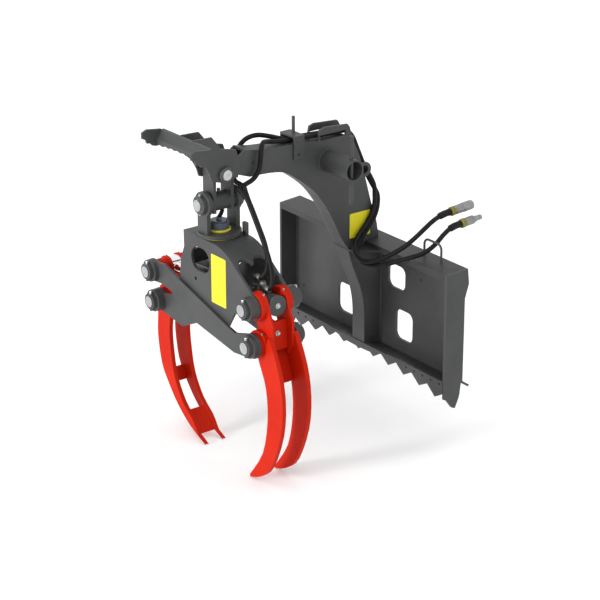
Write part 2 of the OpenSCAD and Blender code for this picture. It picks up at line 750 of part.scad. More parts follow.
right_len = 606;
right_convex_share = [[0.095, 0.02], [0.122, 0.0725], [0.224, -0.129], [0.266, -0.34], [0.246, -0.578],
    [0.139, -0.842], [0.02, -0.955], [-0.1, -1]];
right_concave_share = [[-0.1, -0.98], [0.046, -0.771], [0.102, -0.515], [0.087, -0.29], [0.018, -0.132],
    [-0.063, 0.038]];
module right_blades() {
    color(claw_red) {
        layer(right_blade_in, right_blade_in + blade_t) difference() {
            union() {
                polygon([for (p = concat(curve(right_convex_share), curve(right_concave_share)))
                    link_right + p * right_len]);
                disc(link_right, boss_r + 11);
            }
            disc(link_right, claw_pin_d / 2 + pin_fit);
        }
        ring_layer(link_right, ear_r - 2, right_blade_in + blade_t, link_in - 2 * seat);
    }
}
right_ear = 60;
right_bracket_share = [[-0.04, -0.06], [0.098, 0.01], [0.152, -0.1], [0.152, -0.26], [0.1, -0.34],
    [0.04, -0.3]];
module right_brackets() {
    color(claw_red) {
        layer(right_bracket_in, right_bracket_in + bracket_t) difference() {
            union() {
                disc(claw_right, right_ear);
                polygon([for (p = right_bracket_share) claw_right + p * right_len]);
            }
            disc(claw_right, claw_pin_d / 2 + pin_fit);
            disc(link_right, claw_pin_d / 2 + pin_fit);
        }
        ring_layer(claw_right, right_ear - 2, right_bracket_in + bracket_t, head_in - 2 * seat);
    }
}
right_web_share = [[0.07, -0.1], [0.085, -0.1], [0.1, -0.3], [0.085, -0.3]];
right_brace_share = [[0.018, -0.3], [0.038, -0.295], [0.136, -0.528], [0.116, -0.534]];
module right_braces() {
    color(claw_red) {
        layer(-right_bracket_in, right_bracket_in, [1])
            polygon([for (p = right_web_share) claw_right + p * right_len]);
        layer(-right_blade_in, right_blade_in, [1])
            polygon([for (p = right_brace_share) claw_right + p * right_len]);
    }
}

// The link's edge round each pin, as shares of the ears' radius
link_left_upper_share = [[0, 1], [0.98, 0.92], [1.75, 1]];
link_left_lower_share = [[3.17, -1.54], [2.88, -1.08], [1.21, -0.88], [0, -1]];
link_right_share = [[-3.35, 0.56], [-2.35, 0.35], [0, 1.06], [0, -1.06], [-1.12, -1.29], [-2.54, -1.44],
    [-7.92, -0.6]];
link_eye_wall = 15;
module link_shape() {
    polygon(concat([for (p = link_left_upper_share) link_left + p * ear_r],
        [for (p = link_right_share) link_right + p * ear_r],
        [for (p = link_left_lower_share) link_left + p * ear_r]));
    disc(link_left, ear_r);
    disc(link_right, open_bore_d / 2 + link_eye_wall);
}
module link(side) {
    color(steel) {
        layer(link_in, link_out, [side]) difference() {
            link_shape();
            disc(link_left, claw_pin_d / 2 + pin_fit);
            disc(link_right, open_bore_d / 2);
        }
        ring_layer(link_left, boss_r, link_out, boss_out - seat, [side]);
    }
}
module link_front() link(-1);
module link_rear() link(1);

// The cylinder lies along the line from the right claw's pin to the left link pin
cylinder_turn = atan2(link_left.y - claw_right.y, link_left.x - claw_right.x);
module along_cylinder() {
    translate([claw_right.x, -boom_reach, claw_right.y]) rotate([0, -cylinder_turn, 0])
        rotate([0, 90, 0]) children();
}
module cylinder_barrel() {
    base_l = 47;
    floor_l = 40;
    port_x = 38;
    port_d = 26;
    port_h = 26;
    color(steel) difference() {
        along_cylinder() {
            translate([0, 0, -base_l]) cylinder(d = barrel_d, h = base_l + barrel_l);
            for (x = [port_x, barrel_l - port_x]) translate([0, 0, x]) rotate([0, -90, 0])
                cylinder(d = port_d, h = barrel_d / 2 + port_h);
        }
        along_cylinder() translate([0, 0, floor_l]) cylinder(d = bore_d, h = barrel_l);
        layer(-barrel_d, barrel_d, [1]) disc(claw_right, claw_pin_d / 2 + pin_fit);
    }
}
module cylinder_gland() {
    gland_t = 30;
    gland_d = barrel_d - 4;
    color(steel) along_cylinder() difference() {
        union() {
            translate([0, 0, barrel_l]) cylinder(d = gland_d, h = gland_t / 3);
            translate([0, 0, barrel_l - gland_t]) cylinder(d = bore_d, h = gland_t);
        }
        translate([0, 0, barrel_l - 2 * gland_t])
            cylinder(d = piston_rod_d + 2 * pin_fit, h = 3 * gland_t);
    }
}
module cylinder_rod() {
    piston_back = 110;
    piston_t = 34;
    eye_r = 40;
    eye_half = left_bracket_in - 1;
    eye_play = 8;
    piston_at = barrel_l - piston_back;
    color(silver) difference() {
        union() {
            along_cylinder() translate([0, 0, piston_at]) {
                cylinder(d = piston_rod_d, h = cylinder_l - piston_at - 0.8 * eye_r);
                cylinder(d = bore_d - 2 * pin_fit, h = piston_t);
            }
            layer(-eye_half, eye_half, [1]) disc(link_left, eye_r);
        }
        layer(-barrel_d, barrel_d, [1]) disc(link_left, claw_pin_d / 2 + eye_play);
    }
}

// A tube of diameter d swept through the points p, ending square to its ends
function unit(v) = v / max(norm(v), overrun / 1000);
function heading(p, i) = i == 0 ? unit(p[1] - p[0])
    : i == len(p) - 1 ? unit(p[i] - p[i - 1]) : unit(p[i + 1] - p[i - 1]);
function ring(c, t, r, sides) = let(ref = abs(t.x) > 0.9 ? [0, 1, 0] : [1, 0, 0],
    a = unit(cross(t, ref)), b = cross(t, a))
    [for (k = [0 : sides - 1]) c + r * (a * cos(360 * k / sides) + b * sin(360 * k / sides))];
module tube(points, d, sides = 8) {
    p = concat([points[0] + seat * heading(points, 0)], [for (i = [1 : len(points) - 1]) points[i]]);
    n = len(p);
    polyhedron(points = [for (i = [0 : n - 1]) each ring(p[i], heading(p, i), d / 2, sides)],
        faces = concat([[for (k = [0 : sides - 1]) k]],
            [for (i = [0 : n - 2], k = [0 : sides - 1]) let(a = i * sides + k,
                b = i * sides + (k + 1) % sides) each [[b, a, a + sides], [b, a + sides, b + sides]]],
            [[for (k = [sides - 1 : -1 : 0]) (n - 1) * sides + k]]));
}

// The hoses' points are set for this reach and half width, and keep with the nose and the frame's side
drawn_reach = 829;
drawn_half = 554.5;
nose_room = 77;
tail_near = 60;
tail_far = 320;
hang_shift = boom_reach - drawn_reach;
reach_share = 1 + hang_shift / (drawn_reach - nose_room);
function along_boom(p) = [for (q = p) [q.x, q.y * reach_share, q.z]];
function with_head(p) = [for (q = p) q - [0, hang_shift, 0]];
function with_side(p) = [for (q = p) q + [(inner_w / 2 - drawn_half)
    * min(1, max(0, (q.x - tail_near) / (tail_far - tail_near))), 0, 0]];

boom_hose_a = [[29, -92, 600], [25, -110, 635], [18, -135, 700], [13, -157, 754], [12, -190, 784],
    [12, -230, 788], [12, -320, 792], [12, -430, 799], [12, -500, 802], [14, -600, 808], [34, -635, 824],
    [62, -652, 826], [72, -664, 796], [68, -680, 745], [62, -712, 698], [60, -752, 684]];
boom_hose_b = [[6, -88, 600], [3, -106, 635], [-4, -135, 700], [-10, -157, 754], [-12, -190, 784],
    [-12, -230, 788], [-12, -320, 792], [-12, -430, 799], [-12, -500, 802], [-10, -600, 808],
    [4, -656, 822], [34, -684, 836], [62, -694, 826], [72, -704, 790], [72, -722, 744], [70, -752, 712]];
module boom_hoses() {
    color(rubber) for (p = [boom_hose_a, boom_hose_b]) tube(along_boom(p), supply_d);
}
nose_hose_a = [[60, -752, 684], [59, -772, 677], [70, -782, 655], [84, -776, 635]];
nose_hose_b = [[70, -752, 712], [69, -767, 696], [84, -772, 668], [100, -764, 645]];
module nose_hoses() {
    color(rubber) for (p = [nose_hose_a, nose_hose_b]) tube(with_head(p), hose_d);
}
yoke_hose_a = [[84, -776, 635], [98, -770, 615], [112, -767, 590], [126, -764, 565]];
yoke_hose_b = [[100, -764, 645], [116, -756, 622], [131, -753, 596], [146, -750, 570]];
module yoke_hoses() {
    color(rubber) for (p = [yoke_hose_a, yoke_hose_b]) tube(with_head(p), hose_d);
}
head_hose_a = [[126, -764, 565], [140, -761, 540], [160, -758, 508], [202, -762, 466], [244, -776, 420],
    [262, -800, 385], [256, -826, 358], [254, -829, 342]];
head_hose_b = [[146, -750, 570], [161, -747, 544], [182, -744, 511], [226, -748, 465], [272, -764, 410],
    [300, -792, 378], [297, -824, 362], [295, -829, 345]];
module head_hoses() {
    color(rubber) for (p = [head_hose_a, head_hose_b]) tube(with_head(p), hose_d);
}
tail_upper_points = [[350, 98, 461], [350, 68, 459], [348, 35, 451], [343, 3, 434], [334, -28, 408],
    [320, -60, 376], [300, -94, 342], [273, -128, 311], [241, -161, 284], [206, -190, 265],
    [172, -208, 257], [135, -215, 261], [100, -208, 277], [76, -190, 299], [65, -164, 324],
    [60, -136, 348], [57, -108, 374], [56, -84, 406], [53, -66, 446], [47, -60, 484], [34, -56, 530],
    [29, -92, 600]];
module hose_tail_upper() {
    color(rubber) tube(with_side(tail_upper_points), supply_d);
}
tail_lower_points = [[400, 113, 419], [400, 83, 417], [399, 54, 409], [395, 23, 388], [387, -8, 355],
    [376, -40, 330], [361, -70, 313], [341, -99, 302], [315, -127, 289], [282, -150, 272],
    [245, -167, 256], [206, -181, 243], [168, -192, 238], [131, -199, 243], [98, -193, 258],
    [75, -176, 281], [63, -149, 306], [58, -121, 330], [55, -93, 356], [54, -66, 391], [49, -46, 434],
    [34, -35, 480], [12, -52, 530], [6, -88, 600]];
module hose_tail_lower() {
    color(rubber) tube(with_side(tail_lower_points), supply_d);
}

// Each coupler's outline from the hose to its tip, as shares of its length and radius
socket_share = [[0, 0], [0, 0.66], [0.02, 0.95], [0.17, 0.95], [0.17, 0.78], [0.2, 0.78], [0.22, 0.9],
    [0.56, 0.9], [0.58, 1], [0.94, 1], [0.97, 0.93], [1, 0.9], [1, 0]];
plug_share = [[0, 0], [0, 0.66], [0.02, 0.95], [0.17, 0.95], [0.17, 0.78], [0.2, 0.78], [0.22, 0.86],
    [0.6, 0.86], [0.64, 0.62], [0.76, 0.62], [0.78, 0.54], [0.97, 0.54], [1, 0.48], [1, 0]];
module coupler(points, shares) {
    v = points[0] - points[1];
    translate(points[0]) rotate([atan2(v.z, v.y) - 90, 0, 0]) rotate_extrude()
        polygon([for (p = shares) [p.y * coupler_d / 2, p.x * coupler_l]]);
}
module couplers() {
    color(silver) {
        coupler(with_side(tail_upper_points), socket_share);
        coupler(with_side(tail_lower_points), plug_share);
    }
}

mount_plate();
top_flange();
side_plate_left();
side_plate_right();
lower_flange();
tooth_bar();
wedge_pin_flange();
post_plates();
boom_plate_left();
boom_plate_right();
boom_top_plate();
boom_bottom_plate();
boom_rear_plate();
cross_tube();
tube_rod();
hose_strap();
hose_guide();
hose_hook();
nose_plate_left();
nose_plate_right();
fork_bar();
nose_pin();
crosshead();
swivel_yoke();
cross_pin();
rotator_cap();
king_nut();
head_front_plate();
head_rear_plate();
head_cover();
head_web();
seal_ring();
claw_pin_left();
claw_pin_right();
head_collars();
left_blades();
left_brackets();
left_braces();
link_pin_left();
left_collars();
right_blades();
right_brackets();
right_braces();
link_pin_right();
right_collars();
link_front();
link_rear();
cylinder_barrel();
cylinder_gland();
cylinder_rod();
boom_hoses();
nose_hoses();
yoke_hoses();
head_hoses();
hose_tail_upper();
hose_tail_lower();
couplers();
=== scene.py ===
import math

import bpy
import numpy as np
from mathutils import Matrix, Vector


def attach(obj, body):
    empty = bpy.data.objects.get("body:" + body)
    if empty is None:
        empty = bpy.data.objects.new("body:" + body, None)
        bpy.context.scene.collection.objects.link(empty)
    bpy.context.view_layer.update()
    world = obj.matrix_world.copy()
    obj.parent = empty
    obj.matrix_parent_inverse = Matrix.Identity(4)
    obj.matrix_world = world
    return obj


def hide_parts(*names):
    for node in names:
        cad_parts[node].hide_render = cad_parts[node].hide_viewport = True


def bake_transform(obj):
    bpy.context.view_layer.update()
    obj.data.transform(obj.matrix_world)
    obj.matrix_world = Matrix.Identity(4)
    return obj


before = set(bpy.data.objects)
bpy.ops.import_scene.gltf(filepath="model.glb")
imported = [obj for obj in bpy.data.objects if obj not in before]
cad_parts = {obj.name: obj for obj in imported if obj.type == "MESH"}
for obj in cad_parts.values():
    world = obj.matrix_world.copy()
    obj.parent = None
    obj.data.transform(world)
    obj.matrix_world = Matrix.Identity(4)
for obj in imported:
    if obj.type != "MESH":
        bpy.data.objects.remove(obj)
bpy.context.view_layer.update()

# the camera stands where the photograph was taken: metres, degrees and millimetres of lens
view = {"place": (6.5044, -5.3801, 3.4329), "azimuth": 52.67, "elevation": 22.29, "lens": 126.14,
        "near": 0.1, "far": 200}


def placeCamera():
    az, el = math.radians(view["azimuth"]), math.radians(view["elevation"])
    back = Vector((math.sin(az) * math.cos(el), -math.cos(az) * math.cos(el), math.sin(el)))
    camera = bpy.data.objects.new("camera", bpy.data.cameras.new("camera"))
    camera.data.lens = view["lens"]
    camera.data.clip_start, camera.data.clip_end = view["near"], view["far"]
    camera.location = view["place"]
    camera.rotation_euler = (-back).to_track_quat("-Z", "Y").to_euler()
    bpy.context.scene.collection.objects.link(camera)
    bpy.context.scene.camera = camera


placeCamera()
print("camera placed")

meshing = {
    "sharpAngle": 35,       # degrees past which an edge stays sharp
    "pointsPerSpan": 10,    # of a smooth path, between two of the points that it's given
    "steep": 0.9,           # an axis that stands up more than this is framed from X, not from Z
    "tiny": 1e-12,          # stands for a length of nothing where a length divides
}


# Surfaces are numpy grids: rows by columns by x, y, z. A shape is (points, list of face arrays).
def gridFaces(rows, cols, closedRows=False):
    # corner indices of every quad of a grid whose columns close on themselves
    i, j = np.meshgrid(np.arange(rows if closedRows else rows - 1), np.arange(cols), indexing="ij")
    i2, k = (i + 1) % rows, (j + 1) % cols
    return np.stack([i * cols + j, i * cols + k, i2 * cols + k, i2 * cols + j], -1).reshape(-1, 4)


def closedTube(rings):
    # a tube of rings closed at both ends with a fan to the middle of its first and last ring
    rows, cols = rings.shape[:2]
    points = np.concatenate([rings.reshape(-1, 3), rings[:1].mean(1), rings[-1:].mean(1)])
    j = np.arange(cols)
    k = (j + 1) % cols
    first = np.stack([np.full(cols, rows * cols), k, j], -1)
    last = np.stack([np.full(cols, rows * cols + 1), (rows - 1) * cols + j, (rows - 1) * cols + k], -1)
    return points, [gridFaces(rows, cols), np.concatenate([first, last])]


def unitRows(v):
    # each row at length one
    return v / np.maximum(np.linalg.norm(v, axis=-1, keepdims=True), meshing["tiny"])


def frameOf(axis):
    # two unit directions square to an axis, and the axis
    axis = unitRows(np.asarray(axis, float))
    side = np.array([0.0, 0.0, 1.0]) if abs(axis[2]) < meshing["steep"] else np.array([1.0, 0.0, 0.0])
    a = unitRows(np.cross(side, axis))
    return a, np.cross(axis, a), axis


def turnedRings(profile, origin, axis, sides):
    # P(s, t) = origin + axis h(s) + r(s) (a cos t + b sin t), for a profile of (height, radius) pairs
    a, b, w = frameOf(axis)
    h, r = np.asarray(profile, float).T
    t = np.linspace(0, 2 * np.pi, sides, endpoint=False)
    around = a * np.cos(t)[:, None] + b * np.sin(t)[:, None]
    return np.asarray(origin) + w * h[:, None, None] + r[:, None, None] * around[None]


def turned(profile, origin, axis, sides):
    # a turned solid, closed at both ends
    return closedTube(turnedRings(profile, origin, axis, sides))


def turnedLoop(loop, origin, axis, sides):
    # a ring with a hole: the loop of (height, radius) pairs closes on itself
    rings = turnedRings(loop, origin, axis, sides)
    return rings.reshape(-1, 3), [gridFaces(*rings.shape[:2], closedRows=True)]


def smoothPath(points):
    # Catmull-Rom spline through the points, its ends doubled
    p = np.asarray(points, float)
    q = np.concatenate([p[:1], p, p[-1:]])
    t = np.linspace(0, 1, meshing["pointsPerSpan"], endpoint=False)[:, None]
    a, b, c, d = (q[i:len(q) - 3 + i, None] for i in range(4))
    span = 0.5 * (2 * b + (c - a) * t + (2 * a - 5 * b + 4 * c - d) * t**2 + (3 * b - a - 3 * c + d) * t**3)
    return np.concatenate([span.reshape(-1, 3), p[-1:]])


def reachAlong(path):
    # how far along the path each of its points lies
    return np.concatenate([[0], np.cumsum(np.linalg.norm(np.diff(path, axis=0), axis=1))])


def evenPath(path, step):
    # the same path at equal steps along its length
    s = reachAlong(path)
    at = np.linspace(0, s[-1], max(2, int(round(s[-1] / step)) + 1))
    return np.stack([np.interp(at, s, path[:, k]) for k in range(3)], -1)


def pathFrames(path):
    # a frame carried along without twist: each normal is the last one less its part along the tangent
    tangent = unitRows(np.gradient(path, axis=0))
    normal = np.zeros_like(path)
    normal[0] = frameOf(tangent[0])[0]
    for i in range(1, len(path)):
        n = normal[i - 1] - tangent[i] * (normal[i - 1] @ tangent[i])
        normal[i] = n / np.linalg.norm(n)
    return normal, np.cross(tangent, normal)


def hoseAlong(path, radius, sides=20):
    # P(s, t) = c(s) + r(s) (n cos t + b sin t), a round tube carried along the path
    n, b = pathFrames(path)
    t = np.linspace(0, 2 * np.pi, sides, endpoint=False)
    r = np.broadcast_to(radius, len(path))[:, None, None]
    around = n[:, None] * np.cos(t)[None, :, None] + b[:, None] * np.sin(t)[None, :, None]
    return closedTube(path[:, None] + r * around)


def slab(outline, place, u, v, thick, bevel):
    # (a, b) pairs at place + a u + b v, raised by thick along u x v, the upper edge drawn in by bevel
    u, v = np.asarray(u, float), np.asarray(v, float)
    w = np.cross(u, v)
    o = np.asarray(outline, float)
    inset = o * (1 - bevel / np.maximum(np.linalg.norm(o, axis=1, keepdims=True), meshing["tiny"]))
    rings = [np.asarray(place) + q[:, :1] * u + q[:, 1:] * v + w * h
             for q, h in ((o, 0.0), (o, thick - bevel), (inset, thick))]
    return closedTube(np.stack(rings))


def roundedBox(width, height, radius, steps=6):
    # the corner arcs of a rectangle about its middle: each corner's side in x and y, and its quarter turn
    t = np.linspace(0, np.pi / 2, steps)
    corners = [(1, 1, 0), (-1, 1, 1), (-1, -1, 2), (1, -1, 3)]
    return np.concatenate([np.stack([x * (width / 2 - radius) + radius * np.cos(t + q * np.pi / 2),
                                     y * (height / 2 - radius) + radius * np.sin(t + q * np.pi / 2)], -1)
                           for x, y, q in corners])


def outward(points, faces):
    # turns a closed shape's faces round when the sum of their signed cones is below zero
    total = 0.0
    for f in faces:
        p = points[f]
        for k in range(1, f.shape[1] - 1):
            total += np.einsum("ij,ij->", p[:, 0], np.cross(p[:, k], p[:, k + 1]))
    return faces if total > 0 else [f[:, ::-1] for f in faces]


def makePiece(name, groups, body=None):
    # groups is {finish: shapes}; each finish gets its own slot on the one mesh
    points, polygons, slots, base = [], [], [], 0
    mesh = bpy.data.meshes.new(name)
    for index, (finish, shapes) in enumerate(groups.items()):
        mesh.materials.append(paints[finish])
        for p, f in shapes:
            for g in outward(p, f):
                polygons += (g + base).tolist()
                slots += [index] * len(g)
            points.append(p)
            base += len(p)
    mesh.from_pydata(np.concatenate(points).tolist(), [], polygons)
    mesh.polygons.foreach_set("material_index", slots)
    mesh.polygons.foreach_set("use_smooth", np.ones(len(mesh.polygons), bool))
    mesh.set_sharp_from_angle(angle=math.radians(meshing["sharpAngle"]))
    mesh.update()
    piece = bpy.data.objects.new(name, mesh)
    bpy.context.scene.collection.objects.link(piece)
    if body:
        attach(piece, body)
    return piece


def newMaterial(name):
    # a material with nothing but a Principled shader on its output
    m = bpy.data.materials.new(name)
    m.use_nodes = True
    m.node_tree.nodes.clear()
    out = m.node_tree.nodes.new("ShaderNodeOutputMaterial")
    shader = m.node_tree.nodes.new("ShaderNodeBsdfPrincipled")
    m.node_tree.links.new(shader.outputs[0], out.inputs[0])
    return m, m.node_tree, shader


def node(tree, kind, **values):
    # sets the node's input of each name or, where it has none, its own setting
    n = tree.nodes.new("ShaderNode" + kind)
    for k, v in values.items():
        if k in n.inputs:
            n.inputs[k].default_value = v
        else:
            setattr(n, k, v)
    return n


def noise(tree, scale, detail):
    # a noise pattern on the piece's Object coordinates
    place = node(tree, "TexCoord")
    n = node(tree, "TexNoise", Scale=scale, Detail=detail)
    tree.links.new(place.outputs["Object"], n.inputs["Vector"])
    return n.outputs["Fac"]


def ramp(tree, fac, ends, dark, light):
    # dark up to the first end, light from the second on
    r = node(tree, "ValToRGB")
    for element, at, colour in zip(r.color_ramp.elements, ends, (dark, light)):
        element.position, element.color = at, (*colour, 1)
    tree.links.new(fac, r.inputs[0])
    return r.outputs[0]


def spread(tree, fac, low, high, start=0.0, end=1.0):
    # low where fac is at start, high where it is at end
    r = node(tree, "MapRange")
    for k, v in zip(("From Min", "From Max", "To Min", "To Max"), (start, end, low, high)):
        r.inputs[k].default_value = v
    tree.links.new(fac, r.inputs[0])
    return r.outputs[0]


def mixColour(tree, fac, under, over):
    # of a Mix node's sockets, 6 and 7 are its colours and output 2 is the mixed one
    m = node(tree, "Mix", data_type="RGBA")
    tree.links.new(fac, m.inputs[0])
    tree.links.new(under, m.inputs[6])
    m.inputs[7].default_value = (*over, 1)
    return m.outputs[2]


def rounding(tree, radius):
    # the normal of edges rounded to a radius
    return node(tree, "Bevel", samples=4, Radius=radius).outputs[0]


def edgeMask(tree, radius, start, end):
    # how far the rounded normal leans from the face's own, which is most along sharp edges
    soft = rounding(tree, radius)
    face = node(tree, "NewGeometry")
    lean = node(tree, "VectorMath", operation="DOT_PRODUCT")
    tree.links.new(soft, lean.inputs[0])
    tree.links.new(face.outputs["True Normal"], lean.inputs[1])
    return spread(tree, lean.outputs["Value"], 1.0, 0.0, start, end)


def bumpOn(tree, shader, fac, strength, distance, rounded=None):
    # a bump from a pattern, over rounded edges where a radius is given
    b = node(tree, "Bump", Strength=strength, Distance=distance)
    tree.links.new(fac, b.inputs["Height"])
    if rounded:
        tree.links.new(rounding(tree, rounded), b.inputs["Normal"])
    tree.links.new(b.outputs[0], shader.inputs["Normal"])


# In the three looks a pattern is (scale, detail) of a noise, and its ends are where its two shades lie
# the edge keys give the painted highlight along edges: its radius, where it starts and ends, and its strength
paintLook = {"mottle": (7.0, 4.0), "mottleEnds": (0.35, 0.65), "gloss": (31.0, 5.0),
             "peel": (620.0, 1.5), "peelDepth": 0.0006, "rounded": 0.0016,
             "edgeHighlightRadius": 0.003, "edgeHighlightEnds": (0.93, 0.995), "edgeHighlight": 0.45}


def paint(name, dark, light, edgeHighlightColour, roughness=(0.42, 0.54), peel=0.04, shine=0.35):
    # mottled paint with orange peel, lighter along its edges as a painted highlight
    m, tree, shader = newMaterial(name)
    colour = ramp(tree, noise(tree, *paintLook["mottle"]), paintLook["mottleEnds"], dark, light)
    # lighter along sharp edges: a painted highlight
    edge = edgeMask(tree, paintLook["edgeHighlightRadius"], *paintLook["edgeHighlightEnds"])
    colour = mixColour(tree, spread(tree, edge, 0.0, paintLook["edgeHighlight"]), colour, edgeHighlightColour)
    tree.links.new(colour, shader.inputs["Base Color"])
    gloss = spread(tree, noise(tree, *paintLook["gloss"]), *roughness)
    tree.links.new(gloss, shader.inputs["Roughness"])
    bumpOn(tree, shader, noise(tree, *paintLook["peel"]), peel, paintLook["peelDepth"], paintLook["rounded"])
    shader.inputs["Specular IOR Level"].default_value = shine
    return m


metalLook = {"tint": (40.0, 4.0), "tintEnds": (0.3, 0.7), "gloss": (140.0, 4.0),
             "grain": (420.0, 2.0), "grainStrength": 0.03, "grainDepth": 0.0003, "rounded": 0.0008}


def metal(name, dark, light, roughness=(0.22, 0.4)):
    # bare metal in two tints, with a fine grain
    m, tree, shader = newMaterial(name)
    colour = ramp(tree, noise(tree, *metalLook["tint"]), metalLook["tintEnds"], dark, light)
    tree.links.new(colour, shader.inputs["Base Color"])
    gloss = spread(tree, noise(tree, *metalLook["gloss"]), *roughness)
    tree.links.new(gloss, shader.inputs["Roughness"])
    bumpOn(tree, shader, noise(tree, *metalLook["grain"]), metalLook["grainStrength"],
           metalLook["grainDepth"], metalLook["rounded"])
    shader.inputs["Metallic"].default_value = 1.0
    return m


rubberLook = {"tint": (25.0, 4.0), "tintEnds": (0.3, 0.7), "gloss": (90.0, 4.0), "roughness": (0.42, 0.58),
              "grain": (700.0, 2.0), "grainStrength": 0.12, "grainDepth": 0.0004, "shine": 0.16}


def rubber(name, dark, light):
    # dull black rubber with a fine grain; a hose has no edges to round
    m, tree, shader = newMaterial(name)
    colour = ramp(tree, noise(tree, *rubberLook["tint"]), rubberLook["tintEnds"], dark, light)
    tree.links.new(colour, shader.inputs["Base Color"])
    gloss = spread(tree, noise(tree, *rubberLook["gloss"]), *rubberLook["roughness"])
    tree.links.new(gloss, shader.inputs["Roughness"])
    bumpOn(tree, shader, noise(tree, *rubberLook["grain"]), rubberLook["grainStrength"],
           rubberLook["grainDepth"])
    shader.inputs["Specular IOR Level"].default_value = rubberLook["shine"]
    return m


# Dark and light tone, then the lighter colour of a paint's edges, a painted highlight, and how rough it is;
# colours are linear
paints = {
    "frame": paint("framePaint", (0.041, 0.042, 0.043), (0.049, 0.050, 0.051), (0.10, 0.10, 0.105)),
    # a darker copy of the frame's paint: painted shade on the boom's bottom plate and the top flange
    "paintedShade": paint("framePaintPaintedShade", (0.025, 0.0255, 0.026), (0.031, 0.0315, 0.032), (0.07, 0.07, 0.075)),
    "claw": paint("clawPaint", (0.45, 0.013, 0.003), (0.49, 0.016, 0.004), (0.62, 0.05, 0.02),
                  (0.40, 0.50), peel=0.03, shine=0.06),
    "pin": metal("pinSteel", (0.40, 0.41, 0.42), (0.52, 0.53, 0.54)),
    "rod": metal("rodChrome", (0.75, 0.76, 0.78), (0.85, 0.86, 0.88), (0.06, 0.14)),
    "zinc": metal("couplerZinc", (0.24, 0.24, 0.235), (0.33, 0.33, 0.32), (0.40, 0.56)),
    "bolt": metal("boltZinc", (0.36, 0.37, 0.38), (0.50, 0.50, 0.50), (0.25, 0.4)),
    "olive": paint("collarOlive", (0.13, 0.115, 0.012), (0.19, 0.165, 0.02), (0.3, 0.27, 0.08),
                   (0.35, 0.5)),
    "hose": rubber("hoseRubber", (0.005, 0.005, 0.005), (0.010, 0.010, 0.010)),
    "cap": paint("capPaint", (0.055, 0.068, 0.092), (0.072, 0.086, 0.115), (0.16, 0.18, 0.22), (0.3, 0.4)),
    "ring": paint("ringPaint", (0.50, 0.45, 0.01), (0.58, 0.53, 0.02), (0.85, 0.8, 0.15), (0.35, 0.45)),
    "patch": paint("patchYellow", (0.64, 0.58, 0.012), (0.68, 0.62, 0.016), (0.7, 0.64, 0.05), (0.4, 0.5),
                   peel=0.02),
    "bore": paint("boreBlack", (0.008, 0.008, 0.008), (0.012, 0.012, 0.012), (0.02, 0.02, 0.02)),
}
print("materials made:", len(paints))

# the nodes of each finish, and of the painted shade; every other one has the frame's paint
nodePaints = {
    "claw": ["left_blades", "left_brackets", "left_braces", "right_blades", "right_brackets", "right_braces"],
    "pin": ["nose_pin", "cross_pin", "claw_pin_left", "claw_pin_right", "link_pin_left", "link_pin_right"],
    # painted shade: these two nodes take the darker frame paint
    "paintedShade": ["boom_bottom_plate", "top_flange"],
    "rod": ["cylinder_rod"],
    "cap": ["rotator_cap"],
    "ring": ["seal_ring"],
    "zinc": ["couplers"],
    "hose": ["boom_hoses", "nose_hoses", "yoke_hoses", "head_hoses", "hose_tail_upper", "hose_tail_lower"],
}


def paintNodes():
    # each CAD node gets the material of its finish
    finishOf = {n: k for k, names in nodePaints.items() for n in names}
    for name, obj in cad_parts.items():
        obj.data.materials.clear()
        obj.data.materials.append(paints[finishOf.get(name, "frame")])


paintNodes()
print("nodes painted")

# Profiles run from the hose to the mouth, as shares of the coupler's length and radius. The sleeve's
# runs back along the hose, as shares of its own.
couplers = {
    "radius": 0.0205, "sides": 40,
    "collar": 0.17, "collarEdge": 0.002,            # the collar's share of the length and its edge
    "collarWidths": (0.6, 0.93, 0.96, 0.96, 0.9),
    "neck": [(0.16, 0.0), (0.16, 0.78), (0.205, 0.78), (0.22, 0.9)],
    "ribStep": 0.0100, "ribDepth": 0.0020, "pointsPerRib": 8,
    "socket": {"length": 0.118, "ribs": (0.24, 0.54, 0.95),
               "mouth": [(0.57, 0.9), (0.585, 0.99), (0.93, 0.99), (0.97, 0.93), (0.995, 0.9),
                         (0.995, 0.66), (0.86, 0.64), (0.86, 0.0)]},
    "plug": {"length": 0.112, "ribs": (0.24, 0.58, 0.9),
             "mouth": [(0.62, 0.84), (0.645, 0.62), (0.755, 0.62), (0.78, 0.54), (0.86, 0.54),
                       (0.865, 0.46), (0.885, 0.46), (0.89, 0.54), (0.97, 0.54), (0.995, 0.48),
                       (0.995, 0.0)]},
    "sleeveLength": 0.062, "sleeveRadius": 0.0150, "sleeveStep": 0.004, "sleeveSides": 24,
    "sleeve": [(0.0, 1.0), (0.3, 1.0), (0.32, 0.92), (0.38, 0.92), (0.4, 1.0), (0.92, 0.97), (1.0, 0.86)],
}


def ribbed(start, end, radius):
    # r(h) = radius - depth (1 - cos 2 pi n (h - start) / (end - start)) / 2, for n whole ribs
    count = int(round((end - start) / couplers["ribStep"]))
    h = np.linspace(start, end, count * couplers["pointsPerRib"] + 1)
    wave = 1 - np.cos(2 * np.pi * (h - start) * count / (end - start))
    return list(zip(h, radius - couplers["ribDepth"] * wave / 2))


